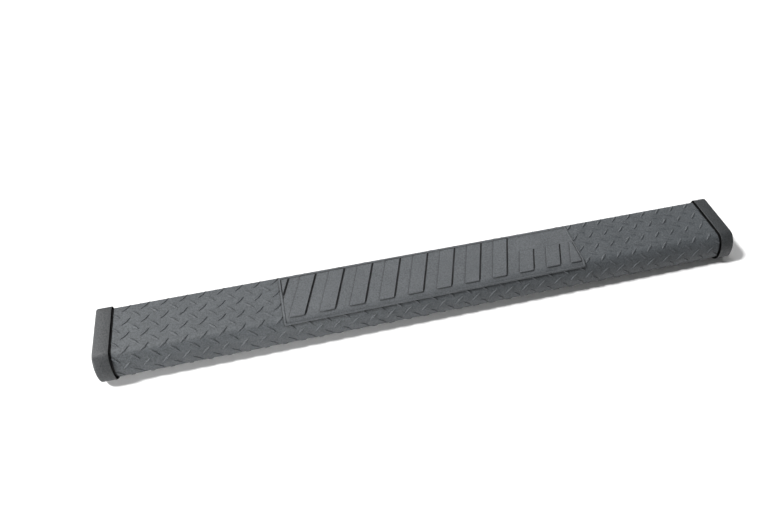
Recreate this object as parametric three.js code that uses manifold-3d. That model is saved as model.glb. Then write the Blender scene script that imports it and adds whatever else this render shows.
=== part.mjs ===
// A running board for a crew-cab pickup: a folded tread-plate step with two bolt rails
// under it, a moulded step pad, two moulded end caps and the fasteners that hold them.
//
// Millimetres, +Z up. X runs along the board, -Y is the outer (nose) side, +Y faces the
// vehicle. The origin is under the middle of the board, on the plane that it stands on.

import * as THREE from 'three';
import { mergeVertices } from 'three/addons/utils/BufferGeometryUtils.js';
import Module from 'manifold-3d';

// ---------- driving dimensions ----------

const sheetLength = 2100; // tread plate, end to end
const sheetThickness = 2;
const deckWidth = 159; // from the crease above the nose to the rear face
const noseArcs = [
  // the nose turns under in three tangent arcs, each given by its radius and its end angle
  { radius: 36, toAngle: 40 },
  { radius: 84, toAngle: 85 },
  { radius: 24, toAngle: 180 },
];
const rearRadius = 6; // bends at the top and bottom of the rear wall
const lipLength = 16; // flat part of the lips turned in at the bottom

const capLength = 52; // moulded end cap, outside length
const capReveal = 4; // groove between the cap's rim and the end of the sheet
const capProud = 7; // how far the cap stands out from the sheet all round
const capWall = 3;
const capEndRound = 8;
const capRimRound = 1;
const plugDepth = 32; // the cap's plug inside the sheet
const plugClearance = 0.5;

const railWidth = 44;
const railHeight = 24;
const railWall = 2.5;
const railSlot = 10;
const railEndGap = 40; // from the end of the sheet to the end of a rail
const railFromCrease = [30, 130]; // centre lines of the front and the rear rail

const padLength = 1046;
const padBackFromCrease = 152.4;
const padFrontAngle = 43; // how far the pad follows the nose round
const padThickness = 2.8;
const padRim = 8;
const rimHeight = 1.2;
const blockHeight = 4;
const blockWidth = 51.5;
const blockPitch = 98.5;
const blockSlant = 0.38; // sideways shift for each millimetre towards the nose
const blockBack = 143.7; // from the crease, as are the next two
const blockFront = -8;
const shortBlockBack = 79; // blocks in front of the plain panel stop here
const blockRimGap = 1.5;
const fullBlocks = 8;
const shortBlocks = 2;
const blockCorner = 6;
const firstBlockAt = 75.2; // left edge of the first whole block, from the pad's left end
const firstCutBlockEnds = 34; // right edge of the block cut off by the left rim
const lastCutBlockStarts = 1052; // left edge of the block cut off by the right rim
const padStudRadius = 3;
const padStudLength = 9; // from the tread surface down
const padStudColumns = 6;
const padStudSpacing = 190;
const padStudRows = [66, 94]; // from the crease, between the two rails

const bracketStations = { left: -750, middle: 0, right: 750 };
const boltRadius = 4; // M8
const boltLength = 32;
const boltHead = { length: 34, width: 36, height: 5 };
const nutDrop = 8; // the nut's flange hangs this far below the rail, ready for a bracket
const nutAcrossFlats = 13;
const nutHeight = 8;
const nutFlange = { radius: 8.9, height: 1.8 };

const screwRadius = 2.1;
const screwInset = 16; // from the end of the sheet
const screwLength = 12;
const screwTip = 3;
const screwHead = { radius: 4.5, height: 2.6 };
const pushNut = { radius: 9, thickness: 0.8, collar: 2 };

const restGap = 0.3; // left between pieces that rest on each other
const holeClearance = 0.5; // on the radius, round studs and screws
const rootDepth = 1.5; // how far a raised shape sinks into the piece that carries it
const roundSegments = 16;
const smallSegments = 12;

// ---------- small helpers ----------

const radians = THREE.MathUtils.degToRad;
const wasm = await Module();
wasm.setup();

function toSolid(geometry) {
  const plain = geometry.clone();
  plain.deleteAttribute('normal');
  plain.deleteAttribute('uv');
  const welded = mergeVertices(plain, 1e-4);
  return new wasm.Manifold(new wasm.Mesh({
    numProp: 3,
    vertProperties: new Float32Array(welded.attributes.position.array),
    triVerts: new Uint32Array(welded.index.array),
  }));
}

function toGeometry(solid) {
  const mesh = solid.getMesh();
  const geometry = new THREE.BufferGeometry();
  geometry.setAttribute('position', new THREE.BufferAttribute(mesh.vertProperties, 3));
  geometry.setIndex(new THREE.BufferAttribute(mesh.triVerts, 1));
  geometry.computeVertexNormals();
  return geometry;
}

function join(geometries) {
  return toGeometry(geometries.map(toSolid).reduce((whole, next) => whole.add(next)));
}

function cut(geometry, tools) {
  return toGeometry(tools.map(toSolid).reduce((rest, tool) => rest.subtract(tool), toSolid(geometry)));
}

function common(first, second) {
  return toGeometry(toSolid(first).intersect(toSolid(second)));
}

function box(low, high) {
  const size = high.map((value, axis) => value - low[axis]);
  const geometry = new THREE.BoxGeometry(...size);
  return geometry.translate(...low.map((value, axis) => value + size[axis] / 2));
}

// A round bar standing along Z, from low to high.
function rod(radius, x, y, low, high, segments = roundSegments) {
  const geometry = new THREE.CylinderGeometry(radius, radius, high - low, segments);
  return geometry.rotateX(Math.PI / 2).translate(x, y, (low + high) / 2);
}

// Extrudes a section drawn in (y, z) along X.
function extrudeAlongX(section, fromX, toX) {
  const options = { depth: toX - fromX, bevelEnabled: false };
  const geometry = new THREE.ExtrudeGeometry(new THREE.Shape(section), options);
  const turn = new THREE.Matrix4().makeBasis(
    new THREE.Vector3(0, 1, 0),
    new THREE.Vector3(0, 0, 1),
    new THREE.Vector3(1, 0, 0),
  );
  return geometry.applyMatrix4(turn).translate(fromX, 0, 0);
}

// Extrudes a plan drawn in (x, y) up Z.
function extrudeUp(plan, low, high) {
  const options = { depth: high - low, bevelEnabled: false };
  return new THREE.ExtrudeGeometry(new THREE.Shape(plan), options).translate(0, 0, low);
}

// ---------- the board's cross-section ----------

// Directions are angles from straight up, turning towards the nose.
function direction(angle) {
  return new THREE.Vector2(-Math.sin(radians(angle)), Math.cos(radians(angle)));
}

// Each bend of the section: centre, radius, start and end angle, relative to the crease.
function sectionBends() {
  const bends = [];
  let point = new THREE.Vector2(0, 0);
  let angle = 0;
  for (const { radius, toAngle } of noseArcs) {
    const centre = point.clone().addScaledVector(direction(angle), -radius);
    bends.push({ centre, radius, from: angle, to: toAngle });
    point = centre.clone().addScaledVector(direction(toAngle), radius);
    angle = toAngle;
  }
  const rearCentre = deckWidth - rearRadius;
  const top = { centre: new THREE.Vector2(rearCentre, -rearRadius), from: -90, to: 0 };
  const bottom = { centre: new THREE.Vector2(rearCentre, point.y + rearRadius), from: 180, to: 270 };
  return [{ ...top, radius: rearRadius }, ...bends, { ...bottom, radius: rearRadius }];
}

const bends = sectionBends();
const [rearTopBend, , , lastNoseBend, rearBottomBend] = bends;
const sectionDrop = lastNoseBend.radius - lastNoseBend.centre.y;
const noseReach = lastNoseBend.radius - lastNoseBend.centre.x;

// The crease sits here, so that the whole board, caps included, is centred in Y and
// stands on z = 0.
const deckHeight = sectionDrop + capProud;
const creaseY = (noseReach - deckWidth) / 2;

function bendPoints({ centre, radius, from, to }, offset, stepAngle = 12) {
  const steps = Math.max(2, Math.round((to - from) / stepAngle));
  return Array.from({ length: steps + 1 }, (_, step) => centre.clone()
    .addScaledVector(direction(from + (to - from) * step / steps), radius + offset)
    .add(new THREE.Vector2(creaseY, deckHeight)));
}

// The section's closed outline, moved outwards by an offset.
function closedOutline(offset) {
  const points = bends.flatMap((bend) => bendPoints(bend, offset));
  return points.filter((point, index) => point.distanceTo(points[(index + 1) % points.length]) > 0.01);
}

// One face of the folded sheet, from the end of the front lip to the end of the rear lip.
function sheetFace(offset) {
  const front = bendPoints(lastNoseBend, offset).at(-1);
  const rear = bendPoints(rearBottomBend, offset)[0];
  const fromFront = bends.slice(1, -1).flatMap((bend) => bendPoints(bend, offset)).reverse();
  const rearFace = [rearTopBend, rearBottomBend].flatMap((bend) => bendPoints(bend, offset).reverse());
  const frontLip = front.clone().add(new THREE.Vector2(lipLength, 0));
  const rearLip = rear.clone().add(new THREE.Vector2(-lipLength, 0));
  const points = [frontLip, ...fromFront, ...rearFace, rearLip];
  return points.filter((point, index) => index === 0 || point.distanceTo(points[index - 1]) > 0.01);
}

// ---------- places worked out from the dimensions ----------

const sheetEnd = sheetLength / 2;
const deckUnderside = deckHeight - sheetThickness;
const frontLipY = creaseY + lastNoseBend.centre.x + lipLength / 2;
const rearLipY = creaseY + rearBottomBend.centre.x - lipLength / 2;
const lipUnderside = deckHeight - sectionDrop;
const rearFaceY = creaseY + deckWidth;
const railTop = deckUnderside - restGap;
const railUnderside = railTop - railHeight;
const railEnd = sheetEnd - railEndGap;
const railY = { front: creaseY + railFromCrease[0], rear: creaseY + railFromCrease[1] };
const padLeft = -padLength / 2;
const padFloor = deckHeight + padThickness;
const screwX = sheetEnd - screwInset;
const rearScrewHeight = deckHeight / 2;

const padStuds = padStudRows.flatMap((fromCrease, row) => (
  Array.from({ length: padStudColumns }, (_, column) => ({
    name: `pad_push_nut_${row === 0 ? 'front' : 'rear'}_${column + 1}`,
    x: (column - (padStudColumns - 1) / 2) * padStudSpacing,
    y: creaseY + fromCrease,
  }))
));

// The cap screws go up through the sheet's two lips and forward through its rear wall.
const screwSites = [
  { place: 'front_lip', y: frontLipY, z: lipUnderside, intoRearWall: false },
  { place: 'rear_lip', y: rearLipY, z: lipUnderside, intoRearWall: false },
  { place: 'rear_wall', y: rearFaceY, z: rearScrewHeight, intoRearWall: true },
];

function screwHole(side, { y, z, intoRearWall }, radius) {
  const hole = rod(radius, 0, 0, -screwLength, screwLength, smallSegments);
  if (intoRearWall) hole.rotateX(Math.PI / 2);
  return hole.translate(side * screwX, y, z);
}

// ---------- the pieces ----------

function treadShell() {
  const section = [...sheetFace(0), ...sheetFace(-sheetThickness).reverse()];
  const blank = extrudeAlongX(section, -sheetEnd, sheetEnd);
  const studHoles = padStuds.map(({ x, y }) => (
    rod(padStudRadius + holeClearance, x, y, deckUnderside - 1, deckHeight + 1, smallSegments)
  ));
  const screwHoles = [-1, 1].flatMap((side) => (
    screwSites.map((site) => screwHole(side, site, screwRadius + holeClearance))
  ));
  return cut(blank, [...studHoles, ...screwHoles]);
}

// A C-shaped rail, open at the bottom along its slot.
function rail(centreY) {
  const half = railWidth / 2;
  const profile = [
    [-half, 0], [-half, -railHeight], [-railSlot / 2, -railHeight],
    [-railSlot / 2, railWall - railHeight], [railWall - half, railWall - railHeight],
    [railWall - half, -railWall], [half - railWall, -railWall],
    [half - railWall, railWall - railHeight], [railSlot / 2, railWall - railHeight],
    [railSlot / 2, -railHeight], [half, -railHeight], [half, 0],
  ];
  const section = profile.map(([y, z]) => new THREE.Vector2(centreY + y, railTop + z));
  return extrudeAlongX(section, -railEnd, railEnd);
}

// The pad's lower or upper face, from its back edge to its front edge on the nose.
function padFace(offset) {
  const [, shoulder, brow] = bends;
  const back = new THREE.Vector2(creaseY + padBackFromCrease, deckHeight + offset);
  const front = bendPoints({ ...brow, to: padFrontAngle }, offset);
  return [back, ...bendPoints(shoulder, offset), ...front.slice(1)];
}

// The plan of one slanted block, between two edges given at the blocks' back ends.
function blockPlan(leftEdge, rightEdge, back) {
  const edgeX = (edge, fromCrease) => padLeft + edge - blockSlant * (blockBack - fromCrease);
  const corners = [
    [leftEdge, back], [leftEdge, blockFront], [rightEdge, blockFront], [rightEdge, back],
  ].map(([edge, fromCrease]) => new THREE.Vector2(edgeX(edge, fromCrease), creaseY + fromCrease));
  const cornerSteps = 4;
  return corners.flatMap((corner, index) => {
    if (index === 0 || index === 3) return [corner];
    const before = corners[index - 1].clone().sub(corner).setLength(blockCorner).add(corner);
    const after = corners[(index + 1) % 4].clone().sub(corner).setLength(blockCorner).add(corner);
    return new THREE.QuadraticBezierCurve(before, corner, after).getPoints(cornerSteps);
  });
}

function stepPad() {
  const padRight = padLeft + padLength;
  const sheet = [...padFace(padThickness), ...padFace(restGap).reverse()];
  const base = extrudeAlongX(sheet, padLeft, padRight);

  const rimFoot = padThickness - rootDepth;
  const raisedSection = [...padFace(padThickness + rimHeight), ...padFace(rimFoot).reverse()];
  const raised = extrudeAlongX(raisedSection, padLeft, padRight);
  const inside = box(
    [padLeft + padRim, creaseY + blockFront - blockRimGap, 0],
    [padRight - padRim, creaseY + padBackFromCrease - padRim, deckHeight * 2],
  );
  const rim = cut(raised, [inside]);

  const blocks = [blockPlan(-blockWidth, firstCutBlockEnds, blockBack)];
  for (let index = 0; index < fullBlocks + shortBlocks; index += 1) {
    const left = firstBlockAt + index * blockPitch;
    blocks.push(blockPlan(left, left + blockWidth, index < fullBlocks ? blockBack : shortBlockBack));
  }
  blocks.push(blockPlan(lastCutBlockStarts, lastCutBlockStarts + blockWidth, shortBlockBack));
  const raisedBlocks = blocks.map((plan) => (
    extrudeUp(plan, padFloor - rootDepth, padFloor + blockHeight)
  ));
  const field = box(
    [padLeft + padRim + blockRimGap, creaseY + blockFront, 0],
    [padRight - padRim - blockRimGap, creaseY + blockBack, deckHeight * 2],
  );

  const studs = padStuds.map(({ x, y }) => (
    rod(padStudRadius, x, y, deckHeight - padStudLength, deckHeight + rootDepth, smallSegments)
  ));
  return join([base, rim, common(join(raisedBlocks), field), ...studs]);
}

// A spring-steel ring pushed up a pad stud until it meets the sheet.
function padPushNut({ x, y }) {
  const { radius: outer, thickness, collar } = pushNut;
  const inner = padStudRadius + restGap;
  const top = deckUnderside - restGap;
  const profile = [
    [inner, -2 * thickness], [inner + collar, -thickness], [outer, -thickness],
    [outer, 0], [inner + collar, 0], [inner, -thickness],
  ].map(([radius, z]) => new THREE.Vector2(radius, z));
  const ring = new THREE.LatheGeometry([...profile, profile[0]], roundSegments);
  return ring.rotateX(Math.PI / 2).translate(x, y, top);
}

// Rings of the section's outline at each station, joined into one closed body.
function loftSection(stations) {
  const rings = stations.map(([x, offset]) => (
    closedOutline(offset).map(({ x: y, y: z }) => new THREE.Vector3(x, y, z))
  ));
  const count = rings[0].length;
  const index = [];
  for (let ring = 0; ring < rings.length - 1; ring += 1) {
    for (let at = 0; at < count; at += 1) {
      const next = (at + 1) % count;
      const [a, b] = [ring * count + at, ring * count + next];
      index.push(a, b, a + count, b, b + count, a + count);
    }
  }
  const lastRing = (rings.length - 1) * count;
  const ends = THREE.ShapeUtils.triangulateShape(closedOutline(0), []);
  for (const [a, b, c] of ends) {
    index.push(a, c, b, lastRing + a, lastRing + b, lastRing + c);
  }
  const geometry = new THREE.BufferGeometry().setFromPoints(rings.flat());
  geometry.setIndex(index);
  return geometry;
}

// The cap for the right-hand end: an outer tray, a plug inside the sheet, and two ribs
// that close the ends of the rails.
function rightEndCap() {
  const rimX = sheetEnd + capReveal;
  const endX = rimX + capLength;
  // A quarter round from an end face, given by its x, to a side face, given by its offset.
  const endRound = (x, offset, radius) => [0, 30, 60, 90].map((angle) => [
    x - radius * (1 - Math.cos(radians(angle))),
    offset - radius * (1 - Math.sin(radians(angle))),
  ]);
  const plugFace = -sheetThickness - plugClearance;
  const plugInside = plugFace - capWall;
  const trayInside = capProud - capWall;
  const tray = loftSection([
    ...endRound(endX, capProud, capEndRound),
    [rimX + capRimRound, capProud],
    [rimX, capProud - capRimRound],
    [rimX, plugFace],
    [sheetEnd - plugDepth, plugFace],
    [sheetEnd - plugDepth, plugInside],
    [rimX + capWall, plugInside],
    [rimX + capWall, trayInside],
    ...endRound(endX - capWall, trayInside, capEndRound - capWall).reverse(),
  ].reverse());
  const ribTop = deckHeight + plugInside + rootDepth;
  const ribs = Object.values(railY).map((y) => box(
    [railEnd + holeClearance, y - capWall / 2, railUnderside],
    [endX - capWall / 2, y + capWall / 2, ribTop],
  ));
  const holes = screwSites.map((site) => screwHole(1, site, screwRadius + restGap));
  return cut(join([tray, ...ribs]), holes);
}

function mirrored(geometry) {
  const copy = geometry.clone().scale(-1, 1, 1);
  const { array } = copy.index;
  for (let at = 0; at < array.length; at += 3) {
    [array[at], array[at + 1]] = [array[at + 1], array[at]];
  }
  copy.computeVertexNormals();
  return copy;
}

// A pan-head screw with its head under z = 0 and its shank up Z.
function capScrew(side, { y, z, intoRearWall }) {
  const profile = [
    [0, -restGap - screwHead.height], [screwHead.radius * 0.7, -restGap - screwHead.height],
    [screwHead.radius, -restGap - screwHead.height * 0.5], [screwHead.radius, -restGap],
    [screwRadius, -restGap], [screwRadius, screwLength - screwTip], [0, screwLength],
  ].map(([radius, height]) => new THREE.Vector2(radius, height));
  const screw = new THREE.LatheGeometry(profile, roundSegments).rotateX(Math.PI / 2);
  if (intoRearWall) screw.rotateX(Math.PI / 2);
  return screw.translate(side * screwX, y, z);
}

// A T-bolt: its flat head lies on the rail's lips, its stud hangs out of the slot.
function railBolt() {
  const headLow = railUnderside + railWall + restGap;
  const head = box(
    [-boltHead.length / 2, -boltHead.width / 2, headLow],
    [boltHead.length / 2, boltHead.width / 2, headLow + boltHead.height],
  );
  const stud = rod(boltRadius, 0, 0, headLow - boltLength, headLow + 1);
  return join([head, stud]);
}

function flangeNut() {
  const flangeTop = railUnderside - nutDrop;
  const flange = rod(nutFlange.radius, 0, 0, flangeTop - nutFlange.height, flangeTop);
  const acrossCorners = nutAcrossFlats / Math.cos(Math.PI / 6) / 2;
  const hexagon = rod(acrossCorners, 0, 0, flangeTop - nutHeight, flangeTop - nutFlange.height / 2, 6);
  const bore = rod(boltRadius + holeClearance, 0, 0, flangeTop - nutHeight - 1, flangeTop + 1);
  return cut(join([flange, hexagon]), [bore]);
}

// ---------- materials and the assembly ----------

function finish(color, roughness, metalness) {
  return new THREE.MeshStandardMaterial({ color, roughness, metalness });
}

const texturedBlackCoat = finish(0x3a3d3f, 0.6, 0.3);
const railCoat = finish(0x1f2021, 0.55, 0.4);
const padPlastic = finish(0x34373a, 0.7, 0);
const capPlastic = finish(0x303234, 0.55, 0);
const zincSteel = finish(0xb4b6b2, 0.35, 0.9);
const springSteel = finish(0x55575a, 0.4, 0.9);

const board = new THREE.Group();

function add(parent, name, geometry, material) {
  const mesh = new THREE.Mesh(geometry, material);
  mesh.name = name;
  parent.add(mesh);
  return mesh;
}

add(board, 'tread_shell', treadShell(), texturedBlackCoat);
for (const [place, y] of Object.entries(railY)) {
  add(board, `${place}_rail`, rail(y), railCoat);
}
add(board, 'step_pad', stepPad(), padPlastic);
for (const stud of padStuds) {
  add(board, stud.name, padPushNut(stud), springSteel);
}

const capGeometry = rightEndCap();
for (const [end, side] of [['left', -1], ['right', 1]]) {
  add(board, `end_cap_${end}`, side < 0 ? mirrored(capGeometry) : capGeometry, capPlastic);
  for (const site of screwSites) {
    add(board, `cap_screw_${end}_${site.place}`, capScrew(side, site), zincSteel);
  }
}

const boltGeometry = railBolt();
const nutGeometry = flangeNut();
for (const [place, y] of Object.entries(railY)) {
  for (const [station, x] of Object.entries(bracketStations)) {
    const fixing = new THREE.Group();
    fixing.position.set(x, y, 0);
    add(fixing, `rail_bolt_${place}_${station}`, boltGeometry, zincSteel);
    add(fixing, `flange_nut_${place}_${station}`, nutGeometry, zincSteel);
    board.add(fixing);
  }
}

export default board;
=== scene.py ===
"""Looks of the running board: embossed tread sheet, moulded pad and caps, rails and fasteners.

Metres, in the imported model's frame: X along the board, -Y the nose side, +Z up.
The sheet and the pad are drawn flat, as x along the board and s across it (s runs over the
deck towards the nose, and is 0 at the crease), and are then wrapped onto the section.
"""

import math

import bmesh
import bpy
import numpy as np
from mathutils import Matrix, Vector
from mathutils.geometry import delaunay_2d_cdt


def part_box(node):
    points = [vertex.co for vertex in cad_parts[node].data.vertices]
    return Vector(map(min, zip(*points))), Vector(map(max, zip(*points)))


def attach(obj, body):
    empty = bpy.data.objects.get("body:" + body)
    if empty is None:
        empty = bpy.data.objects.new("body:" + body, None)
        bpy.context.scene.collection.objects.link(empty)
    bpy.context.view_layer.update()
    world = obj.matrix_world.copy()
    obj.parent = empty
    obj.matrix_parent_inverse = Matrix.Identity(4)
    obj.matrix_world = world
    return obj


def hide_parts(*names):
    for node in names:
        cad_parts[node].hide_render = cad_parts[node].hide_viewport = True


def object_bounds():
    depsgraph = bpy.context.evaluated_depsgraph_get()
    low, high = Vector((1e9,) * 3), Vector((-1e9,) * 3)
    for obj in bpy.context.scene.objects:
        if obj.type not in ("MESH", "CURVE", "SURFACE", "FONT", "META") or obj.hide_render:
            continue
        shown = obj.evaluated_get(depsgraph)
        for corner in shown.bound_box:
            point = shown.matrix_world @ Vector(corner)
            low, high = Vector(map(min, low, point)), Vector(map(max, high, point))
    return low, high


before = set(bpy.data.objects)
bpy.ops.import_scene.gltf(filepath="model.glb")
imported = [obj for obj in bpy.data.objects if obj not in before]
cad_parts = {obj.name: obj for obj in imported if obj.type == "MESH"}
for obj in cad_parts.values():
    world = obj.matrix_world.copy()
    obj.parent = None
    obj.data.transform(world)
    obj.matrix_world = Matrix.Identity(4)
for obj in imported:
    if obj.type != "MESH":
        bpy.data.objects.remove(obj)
CAD_LOW, CAD_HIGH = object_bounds()

MM = 0.001
STATIONS = ("left", "middle", "right")
ROWS = ("front", "rear")

# The folded sheet's section, outside face.
DECK_WIDTH = 159 * MM
NOSE_ARCS = ((36 * MM, 40), (84 * MM, 85), (24 * MM, 180))  # radius and end angle
REAR_RADIUS = 6 * MM
LIP = 16 * MM
SHEET = 2 * MM
REST_GAP = 0.3 * MM

# Raised bars of the tread plate, in two directions on a centred lattice.
BAR_PITCH_X = 59.6 * MM
BAR_PITCH_S = 51 * MM
BAR_HALF_LENGTH = 21 * MM
BAR_HALF_WIDTH = 4.6 * MM
BAR_HEIGHT = 2.1 * MM
BAR_FIRST_X = 38 * MM  # from the sheet's left end
BAR_FIRST_S = 7 * MM
BAR_TAPER = 1.3
BAR_SETS = ((1, 0.0), (-1, 0.5))  # a lean, and how many pitches its lattice is shifted
BAR_FOOT, BAR_TOP = 1.06, 0.52  # levels: 0 is the middle line of a bar, 1 its outline
BAR_RINGS = (1.25, 1.06, 0.94, 0.79, 0.64, 0.52, 0.25)

# The step pad.
PAD_BACK = -152.4 * MM  # s of its back edge
PAD_FRONT_ANGLE = 43
PAD_THICKNESS = 2.8 * MM
PAD_RIM = 8 * MM
RIM_HEIGHT = 1.8 * MM
RIM_RISE, RIM_FALL = 1.6 * MM, 1.8 * MM  # widths of its outer and inner slopes
EDGE_DROP, EDGE_WIDTH = 0.9 * MM, 1.2 * MM  # the softened outer edge
BLOCK_HEIGHT = 4 * MM
BLOCK_WIDTH = 51.5 * MM
BLOCK_PITCH = 98.5 * MM
BLOCK_SLANT = 0.38
BLOCK_BACK = -143.7 * MM
BLOCK_FRONT = 9 * MM
SHORT_BLOCK_BACK = -79 * MM
FULL_BLOCKS, SHORT_BLOCKS = 8, 2
FIRST_BLOCK_AT = 75.2 * MM
FIRST_CUT_BLOCK_ENDS = 34 * MM
LAST_CUT_BLOCK_STARTS = 1052 * MM
BLOCK_CORNER = 6 * MM
BLOCK_WALL = 1.7 * MM
BLOCK_FRONT_WALL = 2.8 * MM
GUTTER_WIDTH, GUTTER_DEPTH = 5.5 * MM, 1.7 * MM  # beside each block's right wall
GUTTER_OVERLAP = 0.8 * MM
WALL_RINGS = (-0.4, 0, 0.15, 0.3, 0.5, 0.7, 0.85, 1.0, 1.4)  # loops of vertices, in wall widths
TOP_RINGS = (3.5 * MM, 5 * MM, 6.5 * MM, 8 * MM)
GUTTER_RINGS = (-0.3, 0, 0.3, 0.5, 0.7, 1)
RIM_RINGS = (0.3, 0.6, 0.9, 1.2, 1.6, 2.0, 5.8, 6.2, 6.65, 7.1, 7.55, 8.0, 8.5)  # mm from the edge
STUD_RADIUS = 3 * MM

COLUMN_STEP = 14 * MM
BEND_STEP = 5  # degrees between rows of vertices on a bend


# ---------- the section as a path ----------


def outward(angle):
    """Outward direction (y, z) where the section has turned by an angle from the deck."""
    return np.stack([-np.sin(angle), np.cos(angle)], axis=-1)


def along(angle):
    return np.stack([-np.cos(angle), -np.sin(angle)], axis=-1)


class Section:
    """The sheet's outer face, walked from the end of the rear lip to the end of the front lip."""

    def __init__(self, low, high):
        wall = high.z - low.z - 2 * REAR_RADIUS
        stretches = [(LIP, None, 0), (None, REAR_RADIUS, 90), (wall, None, 0)]
        stretches += [(None, REAR_RADIUS, 90), (DECK_WIDTH - REAR_RADIUS, None, 0)]
        turned = 0
        for radius, to_angle in NOSE_ARCS:
            stretches.append((None, radius, to_angle - turned))
            turned = to_angle
        stretches.append((LIP, None, 0))

        point = np.array([high.y - REAR_RADIUS - LIP, low.z])
        angle, walked = -math.pi, 0.0
        self.starts, self.points, self.angles, self.radii = [], [], [], []
        for length, radius, turn in stretches:
            turn = math.radians(turn)
            length = radius * turn if radius else length
            self.starts.append(walked)
            self.points.append(point)
            self.angles.append(angle)
            self.radii.append(radius or math.inf)
            if radius:
                centre = point - radius * outward(angle)
                angle += turn
                point = centre + radius * outward(angle)
            else:
                point = point + length * along(angle)
            walked += length
        crease = self.starts[5]  # where the first bend after the deck starts
        self.starts = np.array(self.starts) - crease
        self.end = walked - crease
        self.start = self.starts[0]
        self.points = np.array(self.points)
        self.angles = np.array(self.angles)
        self.radii = np.array(self.radii)

    def place(self, s, lift):
        """Places (y, z) at distances s along the section, lifted off its outer face."""
        s = np.asarray(s, float)
        at = np.clip(np.searchsorted(self.starts, s + 1e-9) - 1, 0, len(self.starts) - 1)
        run = s - self.starts[at]
        curved = np.isfinite(self.radii[at])
        radius = np.where(curved, self.radii[at], 1.0)
        start_angle = self.angles[at]
        angle = start_angle + np.where(curved, run / radius, 0.0)
        centre = self.points[at] - radius[:, None] * outward(start_angle)
        bent = centre + radius[:, None] * outward(angle)
        straight = self.points[at] + run[:, None] * along(start_angle)
        base = np.where(curved[:, None], bent, straight)
        return base + np.asarray(lift)[:, None] * outward(angle)

    def bend_rows(self, low, high):
        """Distances s of the rows of vertices that the bends need, and of the bends' ends."""
        rows = []
        ends = [*self.starts[1:], self.end]
        for start, end, radius in zip(self.starts, ends, self.radii):
            turn = math.degrees((end - start) / radius)
            rows += list(np.linspace(start, end, max(1, math.ceil(turn / BEND_STEP)) + 1))
        return sorted({round(row, 6) for row in rows if low + 1e-5 < row < high - 1e-5})

    def s_at_angle(self, degrees):
        """Distance s at which the nose has turned by an angle."""
        wanted = math.radians(degrees)
        bends = [i for i, radius in enumerate(self.radii) if radius < 1]
        at = max(i for i in bends if self.angles[i] <= wanted)
        return self.starts[at] + self.radii[at] * (wanted - self.angles[at])

    def closed_outline(self, offset, step=BEND_STEP):
        """The outline of a solid end, moved outwards: the bends joined by straight lines."""
        points = []
        for i, radius in enumerate(self.radii):
            if not math.isfinite(radius):
                continue
            turn = self.angles[i + 1] - self.angles[i]
            steps = max(2, math.ceil(math.degrees(turn) / step))
            angles = self.angles[i] + turn * np.arange(steps + 1) / steps
            centre = self.points[i] - radius * outward(self.angles[i])
            points += list(centre + (radius + offset) * outward(angles))
        kept = [p for p, q in zip(points, points[1:] + points[:1]) if np.linalg.norm(p - q) > 1e-6]
        return np.array(kept)


SHEET_LOW, SHEET_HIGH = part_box("tread_shell")
PAD_LOW, PAD_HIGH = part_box("step_pad")
section = Section(SHEET_LOW, SHEET_HIGH)
CREASE_Y = SHEET_HIGH.y - DECK_WIDTH


# ---------- mesh helpers ----------


def new_object(name, vertices, faces, sharp_angle=38):
    mesh = bpy.data.meshes.new(name)
    mesh.from_pydata([tuple(v) for v in vertices], [], [tuple(f) for f in faces])
    built = bmesh.new()
    built.from_mesh(mesh)
    bmesh.ops.recalc_face_normals(built, faces=built.faces)
    if built.calc_volume(signed=True) < 0:
        bmesh.ops.reverse_faces(built, faces=built.faces)
    for face in built.faces:
        face.smooth = True
    for edge in built.edges:
        edge.smooth = edge.is_manifold and edge.calc_face_angle() < math.radians(sharp_angle)
    built.to_mesh(mesh)
    built.free()
    obj = bpy.data.objects.new(name, mesh)
    bpy.context.scene.collection.objects.link(obj)
    return obj


def joined(parts):
    """One (vertices, faces) pair from several."""
    vertices, faces = [], []
    for part_vertices, part_faces in parts:
        base = len(vertices)
        vertices += [tuple(v) for v in part_vertices]
        faces += [[base + i for i in face] for face in part_faces]
    return vertices, faces


def loft(rings, ends="capped"):
    """Skins a list of rings with equal counts. ends is capped, or looped to join last to first."""
    count = len(rings[0])
    vertices = [tuple(p) for ring in rings for p in ring]
    faces = []
    for i in range(len(rings) if ends == "looped" else len(rings) - 1):
        a, b = i * count, (i + 1) % len(rings) * count
        for j in range(count):
            k = (j + 1) % count
            faces.append((a + j, a + k, b + k, b + j))
    if ends == "capped":
        faces.append(tuple(range(count)))
        faces.append(tuple(range(len(vertices) - count, len(vertices))))
    return vertices, faces


def circle(radius, z, count, centre=(0, 0)):
    turns = 2 * math.pi * np.arange(count) / count
    x = centre[0] + radius * np.cos(turns)
    y = centre[1] + radius * np.sin(turns)
    return np.stack([x, y, np.full(count, z)], axis=1)


def lathe(profile, count=40, ends="capped"):
    return loft([circle(radius, z, count) for radius, z in profile], ends)


def bevelled_box(low, high, width, segments=3):
    built = bmesh.new()
    bmesh.ops.create_cube(built, size=1)
    size, middle = Vector(high) - Vector(low), (Vector(high) + Vector(low)) / 2
    bmesh.ops.scale(built, vec=size, verts=built.verts)
    bmesh.ops.translate(built, vec=middle, verts=built.verts)
    bmesh.ops.bevel(
        built, geom=built.edges[:], offset=width, segments=segments, affect="EDGES", profile=0.5
    )
    built.verts.index_update()
    part = [v.co[:] for v in built.verts], [[v.index for v in f.verts] for f in built.faces]
    built.free()
    return part


def moved(part, offset):
    vertices, faces = part
    return [tuple(np.add(v, offset)) for v in vertices], faces


def mirrored_x(part):
    vertices, faces = part
    return [(-x, y, z) for x, y, z in vertices], [tuple(reversed(f)) for f in faces]


# ---------- sheets drawn flat and wrapped onto the section ----------


def inside_circles(points, circles):
    inside = np.zeros(len(points), bool)
    for x, s, radius in circles:
        inside |= np.hypot(points[:, 0] - x, points[:, 1] - s) < radius
    return inside


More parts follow.
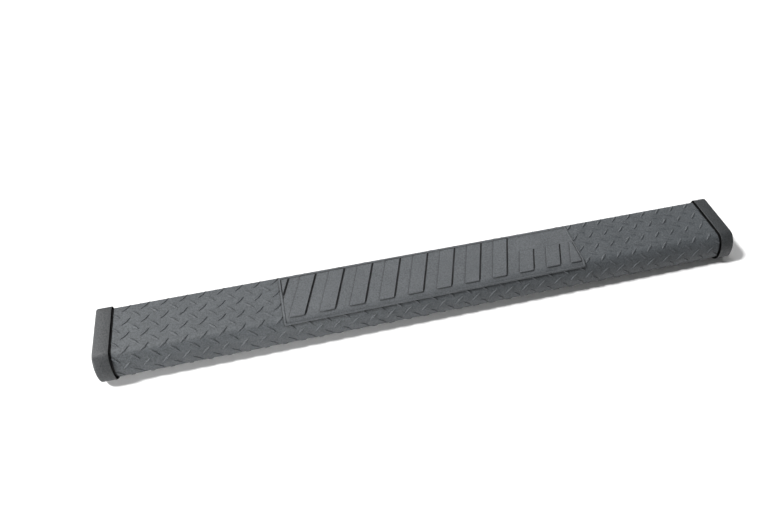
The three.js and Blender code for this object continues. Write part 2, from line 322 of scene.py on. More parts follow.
def triangles_of(loops, lines, rectangle, holes):
    """Triangulates a rectangle of the (x, s) plane along closed loops and open lines of points."""
    (x_low, s_low), (x_high, s_high) = rectangle
    points, edges = [], []
    for group, closed in ((loops, True), (lines, False)):
        for line in group:
            base, count = len(points), len(line)
            points += [Vector((float(x), float(s))) for x, s in line]
            edges += [(base + i, base + i + 1) for i in range(count - 1)]
            if closed:
                edges.append((base + count - 1, base))
    found, _, faces, *_ = delaunay_2d_cdt(points, edges, [], 0, 1e-6)
    found = np.array([v[:] for v in found])
    faces = np.array([f[:] for f in faces])
    middles = found[faces].mean(axis=1)
    kept = (middles[:, 0] > x_low) & (middles[:, 0] < x_high)
    kept &= (middles[:, 1] > s_low) & (middles[:, 1] < s_high)
    kept &= ~inside_circles(middles, holes)
    return found, faces[kept]


def compacted(points, faces):
    """Drops the points that no face uses."""
    used = np.unique(faces)
    renumber = np.full(len(points), -1)
    renumber[used] = np.arange(len(used))
    return points[used], renumber[faces]


def border_edges(faces):
    """Directed edges that only one face uses."""
    edges = np.concatenate([faces[:, [0, 1]], faces[:, [1, 2]], faces[:, [2, 0]]])
    known = {(a, b) for a, b in edges.tolist()}
    return [(a, b) for a, b in edges.tolist() if (b, a) not in known]


def spaced(low, high, step):
    return np.linspace(low, high, max(2, round((high - low) / step) + 1))


def row_lines(rectangle, rows):
    (x_low, _), (x_high, _) = rectangle
    columns = spaced(x_low, x_high, COLUMN_STEP)
    return [np.stack([columns, np.full(len(columns), row)], axis=1) for row in rows]


def wrap(points, lifts):
    yz = section.place(points[:, 1], lifts)
    return np.column_stack([points[:, 0], yz])


def wrapped_sheet(rectangle, loops, holes, lift_of, back_lift):
    """A closed sheet: a front face with relief, a plain back face, and walls at every border."""
    (x_low, s_low), (x_high, s_high) = rectangle
    rows = section.bend_rows(s_low, s_high)
    corners = [(x_low, s_low), (x_high, s_low), (x_high, s_high), (x_low, s_high)]
    hole_loops = [circle(r, 0, 24, (x, s))[:, :2] for x, s, r in holes]
    flat, front = triangles_of(
        [corners, *loops, *hole_loops], row_lines(rectangle, rows), rectangle, holes
    )
    flat, front = compacted(flat, front)
    rim = border_edges(front)
    rim_lines = [flat[[a, b]] for a, b in rim]
    back_flat, back = triangles_of([], [*rim_lines, *row_lines(rectangle, rows)], rectangle, holes)
    back_flat, back = compacted(back_flat, back)
    nearest = {tuple(np.round(p, 6)): i for i, p in enumerate(back_flat)}

    vertices = np.concatenate([
        wrap(flat, lift_of(flat)),
        wrap(back_flat, np.full(len(back_flat), back_lift)),
    ])
    base = len(flat)
    faces = [tuple(f) for f in front] + [(base + c, base + b, base + a) for a, b, c in back]
    for a, b in rim:
        back_a = nearest[tuple(np.round(flat[a], 6))]
        back_b = nearest[tuple(np.round(flat[b], 6))]
        faces.append((b, a, base + back_a, base + back_b))
    return vertices, faces


# ---------- tread plate ----------


def bar_axes(leaning):
    """Unit vectors along and across a bar in (x, s): leaning is +1 or -1."""
    slope = math.atan2(BAR_PITCH_S, BAR_PITCH_X)
    lengthwise = np.array([math.cos(slope), -leaning * math.sin(slope)])
    return lengthwise, np.array([-lengthwise[1], lengthwise[0]])


def first_bar(shift):
    """Centre (x, s) of the first bar of a lattice."""
    x = SHEET_LOW.x + BAR_FIRST_X + shift * BAR_PITCH_X
    return np.array([x, BAR_FIRST_S + shift * BAR_PITCH_S])


def bar_ring(centre, leaning, level, half_count=7):
    """A closed leaf-shaped level line of a bar."""
    lengthwise, across = bar_axes(leaning)
    reach = BAR_HALF_LENGTH * level ** (1 / BAR_TAPER)
    u = reach * np.cos(math.pi * np.arange(half_count + 1) / half_count)
    v = BAR_HALF_WIDTH * np.maximum(level - (np.abs(u) / BAR_HALF_LENGTH) ** BAR_TAPER, 0)
    upper = centre + u[:, None] * lengthwise + v[:, None] * across
    lower = centre + u[:, None] * lengthwise - v[:, None] * across
    return np.concatenate([upper, lower[-2:0:-1]])


def bar_sites(rectangle):
    """Centre and lean of each bar whose middle lies near the rectangle."""
    (x_low, s_low), (x_high, s_high) = rectangle
    margin = BAR_HALF_LENGTH
    sites = []
    for leaning, shift in BAR_SETS:
        first_x, first_s = first_bar(shift)
        columns = range(math.ceil((x_low - margin - first_x) / BAR_PITCH_X),
                        math.floor((x_high + margin - first_x) / BAR_PITCH_X) + 1)
        rows = range(math.ceil((s_low - margin - first_s) / BAR_PITCH_S),
                     math.floor((s_high + margin - first_s) / BAR_PITCH_S) + 1)
        for column in columns:
            for row in rows:
                centre = np.array([first_x + column * BAR_PITCH_X, first_s + row * BAR_PITCH_S])
                sites.append((centre, leaning))
    return sites


def smooth(t):
    t = np.clip(t, 0, 1)
    return t * t * (3 - 2 * t)


def bar_lift(points):
    """Height of the tread relief at points of the (x, s) plane."""
    lift = np.zeros(len(points))
    pitch = np.array([BAR_PITCH_X, BAR_PITCH_S])
    for leaning, shift in BAR_SETS:
        local = (points - first_bar(shift) + pitch / 2) % pitch - pitch / 2
        lengthwise, across = bar_axes(leaning)
        level = (np.abs(local @ lengthwise) / BAR_HALF_LENGTH) ** BAR_TAPER
        level = level + np.abs(local @ across) / BAR_HALF_WIDTH
        lift += BAR_HEIGHT * smooth((BAR_FOOT - level) / (BAR_FOOT - BAR_TOP))
    return lift


def reached_by(rectangle, centre, margin):
    (x_low, s_low), (x_high, s_high) = rectangle
    x, s = centre
    return x_low - margin < x < x_high + margin and s_low - margin < s < s_high + margin


def pad_rectangle():
    return (PAD_LOW.x, PAD_BACK), (PAD_HIGH.x, section.s_at_angle(PAD_FRONT_ANGLE))


def under_pad(centre):
    (x_low, s_low), (x_high, s_high) = pad_rectangle()
    inset = BAR_HALF_LENGTH
    return reached_by(((x_low, s_low - inset), (x_high, s_high)), centre, -inset)


def s_on_lip(y, front):
    """Distance s of a point on a lip, from its y."""
    if front:
        return section.end - (section.place([section.end], [0])[0][0] - y)
    return section.start + (y - section.place([section.start], [0])[0][0])


def middle_of(node):
    low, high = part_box(node)
    return (low + high) / 2


def sheet_holes():
    """Holes for the pad's studs, and for screws in the lips and rear wall, as (x, s, radius)."""
    holes = []
    for row in ROWS:
        for index in range(1, 7):
            at = middle_of(f"pad_push_nut_{row}_{index}")
            holes.append((at.x, CREASE_Y - at.y, STUD_RADIUS + 0.5 * MM))
    wall_top = -DECK_WIDTH + REAR_RADIUS - REAR_RADIUS * math.pi / 2
    for end in ("left", "right"):
        for place in ("front_lip", "rear_lip", "rear_wall"):
            at = middle_of(f"cap_screw_{end}_{place}")
            if place == "rear_wall":
                s = wall_top - (SHEET_HIGH.z - REAR_RADIUS - at.z)
            else:
                s = s_on_lip(at.y, place == "front_lip")
            holes.append((at.x, s, 2.6 * MM))
    return holes


def tread_sheet():
    rectangle = (SHEET_LOW.x, section.start), (SHEET_HIGH.x, section.end)
    sites = [site for site in bar_sites(rectangle) if not under_pad(site[0])]
    rings = [bar_ring(centre, leaning, level) for centre, leaning in sites for level in BAR_RINGS]
    plate = wrapped_sheet(rectangle, rings, sheet_holes(), bar_lift, -SHEET)
    return new_object("tread_sheet", *plate)


# ---------- step pad ----------


def block_corners(left, right, back):
    def corner(edge, s):
        return np.array([PAD_LOW.x + edge + BLOCK_SLANT * (BLOCK_BACK - s), s])

    ends = (left, back), (left, BLOCK_FRONT), (right, BLOCK_FRONT), (right, back)
    return [corner(edge, s) for edge, s in ends]


def clipped(polygon, x_low, x_high):
    """A convex polygon cut to a band of x."""
    for limit, sign in ((x_low, 1), (x_high, -1)):
        kept = []
        for a, b in zip(polygon, polygon[1:] + polygon[:1]):
            inside_a, inside_b = sign * (a[0] - limit) >= 0, sign * (b[0] - limit) >= 0
            if inside_a:
                kept.append(a)
            if inside_a != inside_b:
                kept.append(a + (b - a) * (limit - a[0]) / (b[0] - a[0]))
        polygon = kept
    return polygon


def rounded(polygon, radii, steps=5):
    """Replaces each corner of a polygon by a curve that starts a radius before it."""
    points = []
    for i, corner in enumerate(polygon):
        before = polygon[i - 1] - corner
        after = polygon[(i + 1) % len(polygon)] - corner
        reach = min(radii[i], 0.45 * np.linalg.norm(before), 0.45 * np.linalg.norm(after))
        start = corner + before / np.linalg.norm(before) * reach
        end = corner + after / np.linalg.norm(after) * reach
        for t in np.linspace(0, 1, steps + 1):
            points.append((1 - t) ** 2 * start + 2 * t * (1 - t) * corner + t * t * end)
    return np.array(points)


def block_spans():
    """Left edge, right edge and back end of each block, before the pad's sides cut them."""
    spans = [(-BLOCK_WIDTH, FIRST_CUT_BLOCK_ENDS, BLOCK_BACK)]
    for index in range(FULL_BLOCKS + SHORT_BLOCKS):
        left = FIRST_BLOCK_AT + index * BLOCK_PITCH
        back = BLOCK_BACK if index < FULL_BLOCKS else SHORT_BLOCK_BACK
        spans.append((left, left + BLOCK_WIDTH, back))
    spans.append((LAST_CUT_BLOCK_STARTS, LAST_CUT_BLOCK_STARTS + BLOCK_WIDTH, SHORT_BLOCK_BACK))
    return spans


def block_outlines():
    inset = PAD_RIM + 1.5 * MM
    outlines = []
    for left, right, back in block_spans():
        corners = clipped(block_corners(left, right, back), PAD_LOW.x + inset, PAD_HIGH.x - inset)
        radii = [BLOCK_CORNER if corner[1] > 0 else 2 * MM for corner in corners]
        outlines.append(rounded(corners, radii))
    return outlines


def gutter_outlines():
    """Narrow channels along the right walls of the blocks."""
    outlines = []
    for _, right, back in block_spans():
        edges = right - GUTTER_OVERLAP, right + GUTTER_WIDTH - GUTTER_OVERLAP
        strip = block_corners(*edges, back)
        setback = BLOCK_SLANT * BLOCK_CORNER, -BLOCK_CORNER
        strip[1:3] = [corner + setback for corner in strip[1:3]]
        outlines.append(np.array(clipped(strip, PAD_LOW.x + PAD_RIM, PAD_HIGH.x - PAD_RIM)))
    return [outline for outline in outlines if len(outline) > 2]


def distance_inside(points, outline):
    """Signed distance of points from a closed outline, positive inside."""
    nearest = np.full(len(points), math.inf)
    inside = np.zeros(len(points), bool)
    for a, b in zip(outline, np.roll(outline, -1, axis=0)):
        edge, offset = b - a, points - a
        t = np.clip(offset @ edge / max(edge @ edge, 1e-18), 0, 1)
        nearest = np.minimum(nearest, np.linalg.norm(offset - t[:, None] * edge, axis=1))
        crosses = (a[1] > points[:, 1]) != (b[1] > points[:, 1])
        height = edge[1] if abs(edge[1]) > 1e-12 else 1e-12
        inside ^= crosses & (points[:, 0] < a[0] + edge[0] * offset[:, 1] / height)
    return np.where(inside, nearest, -nearest)


def inset_loop(outline, distance):
    """A closed outline moved inwards by a distance, along its corners' bisectors."""
    before = outline - np.roll(outline, 1, axis=0)
    after = np.roll(outline, -1, axis=0) - outline
    before /= np.linalg.norm(before, axis=1)[:, None]
    after /= np.linalg.norm(after, axis=1)[:, None]
    turn = np.sign(np.sum(before[:, 0] * after[:, 1] - before[:, 1] * after[:, 0]))
    normals = [turn * np.stack([-d[:, 1], d[:, 0]], axis=1) for d in (before, after)]
    bisector = normals[0] + normals[1]
    bisector /= np.sum(bisector * normals[0], axis=1)[:, None]
    return outline + distance * bisector


def pad_edge_distance(points):
    (x_low, s_low), (x_high, s_high) = pad_rectangle()
    x, s = points.T
    return np.minimum.reduce([x - x_low, x_high - x, s - s_low, s_high - s])


def pad_step_panel():
    outlines = block_outlines()
    gutters = gutter_outlines()
    rectangle = pad_rectangle()

    def lift_of(points):
        edge = pad_edge_distance(points)
        lift = np.full(len(points), PAD_THICKNESS)
        lift -= EDGE_DROP * (1 - smooth(edge / EDGE_WIDTH))
        lift += RIM_HEIGHT * smooth(edge / RIM_RISE) * smooth((PAD_RIM - edge) / RIM_FALL)
        front = smooth((BLOCK_FRONT - points[:, 1]) / BLOCK_FRONT_WALL)
        bend_radius = NOSE_ARCS[0][0]
        past_crease = np.clip(points[:, 1], 0, None) / bend_radius
        flat_top = BLOCK_HEIGHT + bend_radius * (1 / np.cos(past_crease) - 1)
        for outline in outlines:
            lift += flat_top * front * smooth(distance_inside(points, outline) / BLOCK_WALL)
        for gutter in gutters:
            lift -= GUTTER_DEPTH * smooth(distance_inside(points, gutter) / GUTTER_OVERLAP)
        return lift

    (x_low, s_low), (x_high, s_high) = rectangle
    loops = []
    for inset in RIM_RINGS:
        d = inset * MM
        near, far = (x_low + d, s_low + d), (x_high - d, s_high - d)
        loops.append([near, (far[0], near[1]), far, (near[0], far[1])])
    for outline in outlines:
        loops += [inset_loop(outline, share * BLOCK_WALL) for share in WALL_RINGS]
        loops += [inset_loop(outline, inset) for inset in TOP_RINGS]
    for gutter in gutters:
        loops += [inset_loop(gutter, share * GUTTER_OVERLAP) for share in GUTTER_RINGS]
    panel = wrapped_sheet(rectangle, loops, [], lift_of, REST_GAP)
    studs = []
    for row in ROWS:
        for index in range(1, 7):
            at = middle_of(f"pad_push_nut_{row}_{index}")
            tip, top = PAD_LOW.z, SHEET_HIGH.z + 1.5 * MM
            profile = [(STUD_RADIUS * 0.7, tip), (STUD_RADIUS, tip + 1.2 * MM), (STUD_RADIUS, top)]
            studs.append(moved(lathe(profile, 24), (at.x, at.y, 0)))
    return new_object("step_pad_moulding", *joined([panel, *studs]), 50)


# ---------- end caps ----------

CAP_PROUD = SHEET_LOW.z - CAD_LOW.z
CAP_WALL = 3 * MM
CAP_ROUND = 8 * MM
CAP_RIM_ROUND = 1.2 * MM
CAP_LIP = 1.5 * MM  # thickness of the wall at the rim
CAP_GAP = 5.5 * MM  # from the sheet's end to the rim
CAP_CHANNEL = 9 * MM  # how far the lip overhangs the open channel beside the sheet
PLUG_CLEARANCE = 0.5 * MM


def section_ring(x, offset):
    outline = section.closed_outline(offset, 4)
    return [(x, y, z) for y, z in outline]


def quarter(count=7):
    return [math.pi / 2 * i / (count - 1) for i in range(count)]


def end_cap(end):
    low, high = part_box(f"end_cap_{end}")
    outer_end = max(abs(low.x), abs(high.x))
    plug_end = min(abs(low.x), abs(high.x))
    rim = SHEET_HIGH.x + CAP_GAP
    plug_face = -SHEET - PLUG_CLEARANCE
    plug_inside = plug_face - CAP_WALL
    stations = [
        (outer_end - CAP_ROUND * (1 - math.cos(a)), CAP_PROUD - CAP_ROUND * (1 - math.sin(a)))
        for a in quarter()
    ]
    stations += [
        (rim + CAP_RIM_ROUND * (1 - math.sin(a)), CAP_PROUD - CAP_RIM_ROUND * (1 - math.cos(a)))
        for a in quarter(5)
    ]
    inner_round = CAP_ROUND - CAP_WALL
    inner_end, inner_face = outer_end - CAP_WALL, CAP_PROUD - CAP_WALL
    channel_end = rim + CAP_CHANNEL
    web = channel_end + CAP_WALL
    stations += [
        (rim, CAP_PROUD - CAP_LIP), (channel_end, inner_face),
        (channel_end, plug_face), (plug_end, plug_face),
        (plug_end, plug_inside), (web, plug_inside), (web, inner_face),
    ]
    stations += [
        (inner_end - inner_round * (1 - math.cos(a)), inner_face - inner_round * (1 - math.sin(a)))
        for a in reversed(quarter(5))
    ]
    shell = loft([section_ring(x, offset) for x, offset in stations])
    ribs = []
    for row in ROWS:
        rail_low, rail_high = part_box(f"{row}_rail")
        y = (rail_low.y + rail_high.y) / 2
        corner = (rail_high.x + 0.5 * MM, y - CAP_WALL / 2, rail_low.z)
        far = (outer_end - CAP_WALL / 2, y + CAP_WALL / 2, SHEET_HIGH.z + plug_inside + 1 * MM)
        ribs.append(bevelled_box(corner, far, 0.5 * MM, 2))
    part = joined([shell, *ribs])
    if end == "left":
        part = mirrored_x(part)
    return new_object(f"end_cap_{end}_moulding", *part, 50)


# ---------- rails and fasteners ----------


def rail(row):
    low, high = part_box(f"{row}_rail")
    middle = (low.y + high.y) / 2
    half, wall, slot = (high.y - low.y) / 2, 2.5 * MM, 5 * MM
    bottom, top = low.z, high.z
    corners = [
        (half, top), (-half, top), (-half, bottom), (-slot, bottom), (-slot, bottom + wall),
        (wall - half, bottom + wall), (wall - half, top - wall), (half - wall, top - wall),
        (half - wall, bottom + wall), (slot, bottom + wall), (slot, bottom), (half, bottom),
    ]
    outside, inside, edge = 3 * MM, 0.8 * MM, 0.5 * MM
    radii = [outside] * 3 + [edge] * 2 + [inside] * 4 + [edge] * 2 + [outside]
    profile = rounded([np.array(c) for c in corners], radii, 5)
    xs = spaced(low.x, high.x, 0.25)
    rings = [[(x, middle + y, z) for y, z in profile] for x in xs]
    return new_object(f"{row}_rail_section", *loft(rings))


def threaded_shank(radius, pitch, low, high, count=24, per_turn=6):
    """A shank with a rolled thread: the radius follows a helical wave."""
    depth = 0.54 * pitch
    rings = []
    levels = round((high - low) / pitch * per_turn)
    for i in range(levels + 1):
        z = low + (high - low) * i / levels
        fade = min(1.0, (z - low) / pitch + 0.15, (high - z) / pitch)
        ring = []
        for j in range(count):
            phase = (z / pitch - j / count) % 1
            crest = abs(2 * phase - 1)
            r = radius - depth * (1 - smooth(1.25 * crest)) * max(fade, 0)
            turn = 2 * math.pi * j / count
            ring.append((r * math.cos(turn), r * math.sin(turn), z))
        rings.append(ring)
    tip = [(x * 0.8, y * 0.8, low - 0.6 * MM) for x, y, _ in rings[0]]
    return loft([tip, *rings])


def rail_bolt(row, station):
    low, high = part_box(f"rail_bolt_{row}_{station}")
    centre = (low + high) / 2
    head_low = high.z - 5 * MM
    head = bevelled_box((low.x, low.y, head_low), (high.x, high.y, high.z), 1.2 * MM, 4)
    shank = threaded_shank(4 * MM, 1.25 * MM, low.z + 0.6 * MM, head_low - 1 * MM)
    neck = lathe([(4 * MM, head_low - 1.2 * MM), (4 * MM, head_low + 0.5 * MM)], 32)
    parts = [head, moved(shank, (centre.x, centre.y, 0)), moved(neck, (centre.x, centre.y, 0))]
    return new_object(f"t_bolt_{row}_{station}", *joined(parts))


def hexagon_ring(across_flats, z, limit, count=48):
    ring = []
    for j in range(count):
        turn = 2 * math.pi * j / count
        flat = (turn + math.pi / 6) % (math.pi / 3) - math.pi / 6
        r = min(across_flats / 2 / math.cos(flat), limit)
        ring.append((r * math.cos(turn), r * math.sin(turn), z))
    return ring


def flange_nut(row, station):
    low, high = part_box(f"flange_nut_{row}_{station}")
    centre = (low + high) / 2
    flange = (high.x - low.x) / 2
    flats, bore = 13 * MM, 4.2 * MM
    corner = flats / math.sqrt(3)
    chamfer = [(0.0, 0.965), (0.35, 0.985), (0.7, 1.0)]
    rings = [circle(bore + 0.5 * MM, low.z, 48)]
    rings += [hexagon_ring(flats, low.z + dz * MM, corner * share * 0.93) for dz, share in chamfer]
    rings += [hexagon_ring(flats, low.z + 1.2 * MM, corner)]
    rings += [hexagon_ring(flats, high.z - 2.6 * MM, corner)]
    rings += [circle(flange * 0.93, high.z - 1.7 * MM, 48), circle(flange, high.z - 1.1 * MM, 48)]
    rings += [circle(flange, high.z - 0.3 * MM, 48), circle(flange - 0.3 * MM, high.z, 48)]
    rings += [circle(bore + 0.5 * MM, high.z, 48), circle(bore, high.z - 0.5 * MM, 48)]
    rings += [circle(bore, low.z + 0.5 * MM, 48)]
    nut = moved(loft(rings, "looped"), (centre.x, centre.y, 0))
    return new_object(f"nut_{row}_{station}", *nut)


def push_nut(row, index):
    """A dished spring ring whose inner edge is slit into tongues that grip the stud."""
    node = f"pad_push_nut_{row}_{index}"
    low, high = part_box(node)
    centre = (low + high) / 2
    radius, grip = (high.x - low.x) / 2, STUD_RADIUS + 0.1 * MM
    count, tongues = 72, 6
    thickness = 0.7 * MM

    def ring(radii, heights, lift):
        points = []
        for j in range(count):
            turn = 2 * math.pi * j / count
            slit = (j % (count // tongues)) < 2
            r = radii[1] if slit else radii[0]
            z = heights[1] if slit else heights[0]
            points.append((r * math.cos(turn), r * math.sin(turn), z + lift))
        return points

    collar = grip + 2.4 * MM
    flat = high.z - thickness
    shape = [
        ((radius - 0.2 * MM,) * 2, (flat,) * 2), ((collar, collar), (flat, flat)),
        ((grip, collar - 0.1 * MM), (low.z, flat)),
    ]
    lower = [ring(radii, heights, 0) for radii, heights in shape]
    upper = [ring(radii, heights, thickness) for radii, heights in reversed(shape)]
    outer = [ring((radius,) * 2, (flat + thickness / 2,) * 2, 0)]
    part = loft([*lower, *upper, *outer], "looped")
    return new_object(f"push_nut_{row}_{index}", *moved(part, (centre.x, centre.y, 0)))


def cap_screw(end, place):
    """A hexagon-washer-head tapping screw."""
    node = f"cap_screw_{end}_{place}"
    low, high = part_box(node)
    centre = (low + high) / 2
    size = high - low
    head_radius = max(size.x, min(size.y, size.z)) / 2
    length = max(size)
    washer, head_top = 0.9 * MM, 2.6 * MM
    flats = head_radius * 1.5
    corner = flats / math.sqrt(3)
    washer_top = head_top - washer
    hexagons = [(0.0, 0.9), (0.35 * MM, 0.97), (0.7 * MM, 1.0), (washer_top, 1.0)]
    washer_rings = [
        (head_radius - 0.2 * MM, washer_top), (head_radius, washer_top + 0.2 * MM),
        (head_radius, head_top), (2 * MM, head_top),
    ]
    rings = [circle(0.6 * corner, 0.25 * MM, 36)]
    rings += [hexagon_ring(flats, z, corner * share, 36) for z, share in hexagons]
    rings += [circle(radius, z, 36) for radius, z in washer_rings]
    head = loft(rings)
    shank = threaded_shank(2 * MM, 1.4 * MM, 0, length - head_top - 1 * MM, 18)
    flipped = [(x, -y, -z) for x, y, z in shank[0]]
    shank = moved((flipped, shank[1]), (0, 0, length - 1 * MM))
    vertices, faces = joined([head, shank])
    if place == "rear_wall":
        turn = Matrix.Rotation(math.pi / 2, 4, "X")
        start = Vector((centre.x, high.y, centre.z))
    else:
        turn = Matrix.Identity(4)
        start = Vector((centre.x, centre.y, low.z))
    vertices = [tuple(start + turn @ Vector(v)) for v in vertices]
    return new_object(f"screw_{end}_{place}", vertices, faces)


# ---------- materials ----------


class Nodes:
    """A small helper for building a material's nodes."""

    def __init__(self, name):
        self.material = bpy.data.materials.new(name)
        self.material.use_nodes = True
        self.tree = self.material.node_tree
        self.shader = self.tree.nodes["Principled BSDF"]
        self.coordinates = self.tree.nodes.new("ShaderNodeTexCoord").outputs["Object"]

    def link(self, source, target):
        self.tree.links.new(source, target)

    def noise(self, scale, detail=3.0, roughness=0.5, stretch=(1, 1, 1)):
        mapping = self.tree.nodes.new("ShaderNodeMapping")
        mapping.inputs["Scale"].default_value = stretch
        self.link(self.coordinates, mapping.inputs["Vector"])
        noise = self.tree.nodes.new("ShaderNodeTexNoise")
        noise.inputs["Scale"].default_value = scale
        noise.inputs["Detail"].default_value = detail
        noise.inputs["Roughness"].default_value = roughness
        self.link(mapping.outputs["Vector"], noise.inputs["Vector"])
        return noise.outputs["Fac"]

    def cells(self, scale):
        voronoi = self.tree.nodes.new("ShaderNodeTexVoronoi")
        voronoi.inputs["Scale"].default_value = scale
        self.link(self.coordinates, voronoi.inputs["Vector"])
        return voronoi.outputs["Distance"]

    def ranged(self, value, low, high, to_low, to_high):
        remap = self.tree.nodes.new("ShaderNodeMapRange")
        limits = {"From Min": low, "From Max": high, "To Min": to_low, "To Max": to_high}
        for key, number in limits.items():
            remap.inputs[key].default_value = number
        self.link(value, remap.inputs["Value"])
        return remap.outputs["Result"]

    def mixed(self, factor, first, second):
        mix = self.tree.nodes.new("ShaderNodeMix")
        mix.data_type = "RGBA"
        self.link(factor, mix.inputs["Factor"])
        for socket, colour in ((mix.inputs["A"], first), (mix.inputs["B"], second)):
            if isinstance(colour, tuple):
                socket.default_value = (*colour, 1)
            else:
                self.link(colour, socket)
        return mix.outputs["Result"]

    def bump(self, height, distance, strength, under=None):
        bump = self.tree.nodes.new("ShaderNodeBump")
        bump.inputs["Distance"].default_value = distance
        bump.inputs["Strength"].default_value = strength
        self.link(height, bump.inputs["Height"])
        if under is not None:
            self.link(under, bump.inputs["Normal"])
        return bump.outputs["Normal"]

    def crease_shade(self, reach, low):
        """Mask for painted shade, read from ambient occlusion: 1 on open surfaces, falling to 0
        deep in grooves and inside corners.
        """
        shade = self.tree.nodes.new("ShaderNodeAmbientOcclusion")
        shade.samples = 8
        shade.inputs["Distance"].default_value = reach
        return self.ranged(shade.outputs["AO"], low, 0.96, 0, 1)


def grained(name, dark, light, rough, grain, depth, mottle, crease_shade_reach, specular=0.4):
    """A coat or plastic with fine grain, mottled tone and uneven gloss, and with painted shade:
    its colour darkens to near black in grooves and inside corners.
    """
    nodes = Nodes(name)
    nodes.shader.inputs["Specular IOR Level"].default_value = specular
    tone = nodes.mixed(nodes.ranged(nodes.noise(14, 4), 0.3, 0.7, 0, 1), dark, light)
    blotches = nodes.ranged(nodes.noise(180, 4, 0.72), 0.4, 0.6, 0, mottle)
    blotched = nodes.mixed(blotches, tone, tuple(0.3 * c for c in dark))
    speckle = nodes.ranged(nodes.noise(grain, 2, 0.6), 0.35, 0.65, 0, 1)
    fleck = tuple(min(1.0, 1.8 * c) for c in light)
    flecked = nodes.mixed(nodes.ranged(speckle, 0.6, 1, 0, 0.5), blotched, fleck)
    # Painted shade: the base colour falls towards 4% of the dark tone in grooves and inside
    # corners, by ambient occlusion.
    unshaded_share = nodes.crease_shade(crease_shade_reach, 0.58)
    crease_shaded = nodes.mixed(unshaded_share, tuple(0.04 * c for c in dark), flecked)
    nodes.link(crease_shaded, nodes.shader.inputs["Base Color"])
    gloss = nodes.ranged(nodes.noise(60, 3), 0.3, 0.7, rough - 0.05, rough + 0.06)
    nodes.link(gloss, nodes.shader.inputs["Roughness"])
    coarse = nodes.bump(blotches, 0.35 * MM, 0.8)
    fine = nodes.bump(nodes.cells(grain * 0.45), depth, 0.35, coarse)
    nodes.link(nodes.bump(speckle, depth, 0.5, fine), nodes.shader.inputs["Normal"])
    return nodes.material


def bare_metal(name, dark, light, rough, stretch=(1, 1, 1)):
    """Plated or plain steel with a drawn grain and cloudy gloss."""
    nodes = Nodes(name)
    nodes.shader.inputs["Metallic"].default_value = 1.0
    tone = nodes.mixed(nodes.ranged(nodes.noise(90, 4), 0.3, 0.7, 0, 1), dark, light)
    nodes.link(tone, nodes.shader.inputs["Base Color"])
    gloss = nodes.ranged(nodes.noise(240, 4), 0.3, 0.7, rough - 0.08, rough + 0.12)
    nodes.link(gloss, nodes.shader.inputs["Roughness"])
    grain = nodes.noise(1800, 2, 0.5, stretch)
    nodes.link(nodes.bump(grain, 0.05 * MM, 0.4), nodes.shader.inputs["Normal"])
    return nodes.material


# The coats and plastics paint shade into their grooves and inside corners, out to a reach given
# for each.
FINISHES = {
    "tread_coat": grained(
        "textured_black_coat", (0.068, 0.075, 0.081), (0.084, 0.092, 0.099),
        rough=0.55, grain=700, depth=0.15 * MM, mottle=0.6, crease_shade_reach=5 * MM,
    ),
    "rail_coat": grained(
        "plain_black_coat", (0.018, 0.018, 0.019), (0.028, 0.028, 0.029),
        rough=0.42, grain=1400, depth=0.05 * MM, mottle=0.2, crease_shade_reach=5 * MM,
    ),
    "pad_plastic": grained(
        "pad_plastic", (0.078, 0.084, 0.090), (0.096, 0.103, 0.110),
        rough=0.6, grain=1000, depth=0.12 * MM, mottle=0.5, crease_shade_reach=8 * MM,
    ),
    "cap_plastic": grained(
        "cap_plastic", (0.038, 0.041, 0.043), (0.046, 0.049, 0.052),
        rough=0.5, grain=1100, depth=0.12 * MM, mottle=0.7, crease_shade_reach=14 * MM,
    ),
    "zinc_steel": bare_metal(
        "zinc_steel", (0.55, 0.55, 0.52), (0.72, 0.72, 0.70), rough=0.3, stretch=(1, 1, 0.2)
    ),
    "spring_steel": bare_metal(
        "spring_steel", (0.20, 0.20, 0.21), (0.32, 0.32, 0.33), rough=0.35
    ),
}


def dress(obj, slot, body, *nodes):
    obj.data.materials.append(FINISHES[slot])
    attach(obj, body)
    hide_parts(*nodes)


# ---------- the assembly ----------

dress(tread_sheet(), "tread_coat", "root", "tread_shell")
dress(pad_step_panel(), "pad_plastic", "root", "step_pad")
for end in ("left", "right"):
    dress(end_cap(end), "cap_plastic", "root", f"end_cap_{end}")
    for place in ("front_lip", "rear_lip", "rear_wall"):
        dress(cap_screw(end, place), "zinc_steel", "root", f"cap_screw_{end}_{place}")
for row in ROWS:
    dress(rail(row), "rail_coat", "root", f"{row}_rail")
    for index in range(1, 7):
        dress(push_nut(row, index), "spring_steel", "root", f"pad_push_nut_{row}_{index}")
    for station in STATIONS:
        body = f"{row}_bolt_{station}"
        dress(rail_bolt(row, station), "zinc_steel", body, f"rail_bolt_{row}_{station}")
        dress(flange_nut(row, station), "zinc_steel", body, f"flange_nut_{row}_{station}")


# ---------- floor, lights and camera ----------


def floor():
    side = 30.0
    vertices = [(x * side, y * side, -0.2 * MM) for x, y in ((-1, -1), (1, -1), (1, 1), (-1, 1))]
    mesh = bpy.data.meshes.new("floor")
    mesh.from_pydata(vertices, [], [(0, 1, 2, 3)])
    obj = bpy.data.objects.new("floor", mesh)
    bpy.context.scene.collection.objects.link(obj)
    pale = Nodes("pale_floor")
    pale.shader.inputs["Base Color"].default_value = (0.92, 0.92, 0.92, 1)
    pale.shader.inputs["Roughness"].default_value = 0.9
    mesh.materials.append(pale.material)


def area_light(name, place, target, size, power):
    data = bpy.data.lights.new(name, "AREA")
    data.shape = "RECTANGLE"
    data.size, data.size_y = size
    data.energy = power
    obj = bpy.data.objects.new(name, data)
    obj.location = place
    obj.rotation_euler = (Vector(target) - Vector(place)).to_track_quat("-Z", "Y").to_euler()
    bpy.context.scene.collection.objects.link(obj)


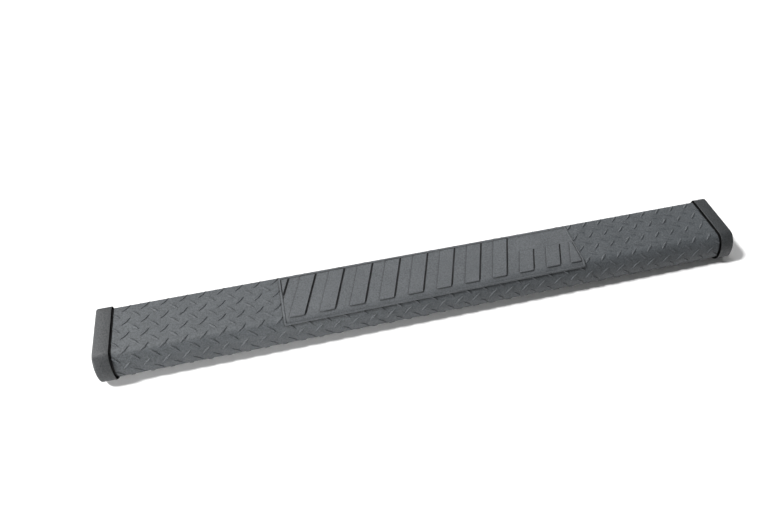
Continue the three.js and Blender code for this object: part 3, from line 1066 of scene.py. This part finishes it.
def sun_light(name, direction, angle, strength):
    data = bpy.data.lights.new(name, "SUN")
    data.energy, data.angle = strength, math.radians(angle)
    obj = bpy.data.objects.new(name, data)
    obj.rotation_euler = (-Vector(direction)).to_track_quat("-Z", "Y").to_euler()
    bpy.context.scene.collection.objects.link(obj)


def surroundings(glow, backdrop):
    """A dim even glow, in front of a pale backdrop."""
    world = bpy.data.worlds.new("soft_surroundings")
    world.use_nodes = True
    tree = world.node_tree
    background = tree.nodes["Background"]
    background.inputs["Color"].default_value = (1, 1, 1, 1)
    seen = tree.nodes.new("ShaderNodeLightPath").outputs["Is Camera Ray"]
    strength = tree.nodes.new("ShaderNodeMapRange")
    strength.inputs["To Min"].default_value = glow
    strength.inputs["To Max"].default_value = backdrop
    tree.links.new(seen, strength.inputs["Value"])
    tree.links.new(strength.outputs["Result"], background.inputs["Strength"])
    bpy.context.scene.world = world


def camera():
    """Stands in front of the nose, left of the middle, looking down and slightly to the right."""
    heading, pitch, roll = math.radians(14.1), math.radians(52.8), math.radians(1.0)
    level = Vector((math.sin(heading), math.cos(heading), 0))
    look = level * math.cos(pitch) - Vector((0, 0, math.sin(pitch)))
    data = bpy.data.cameras.new("camera")
    data.sensor_width, data.lens = 36, 25.0
    obj = bpy.data.objects.new("camera", data)
    turn = look.to_track_quat("-Z", "Y").to_matrix() @ Matrix.Rotation(roll, 3, "Z")
    obj.matrix_world = Matrix.Translation((-0.4233, -0.9787, 1.5859)) @ turn.to_4x4()
    bpy.context.scene.collection.objects.link(obj)
    bpy.context.scene.camera = obj


floor()
sun_light("key", (-9.1, 3.5, 10.1), 8, 3.9)
area_light("left_softbox", (-9.1, 3.5, 10.1), (0, 0, 0), (2.2, 2.2), 500)
area_light("rear_softbox", (-0.26, 2.99, 5.2), (0, 0, 0), (1.4, 1.4), 85)
area_light("nose_fill", (-0.5, -1.15, 0.38), (-0.25, -0.1, 0.05), (0.25, 0.2), 5)
area_light("left_fill", (-2.3, -0.8, 0.4), (-0.6, -0.1, 0.05), (0.3, 0.3), 17)
area_light("end_fill", (2.6, 4.2, 1.4), (0.8, 0, 0), (2.0, 1.5), 80)
surroundings(0.07, 0.95)
camera()
bpy.context.scene.view_settings.view_transform = "Standard"
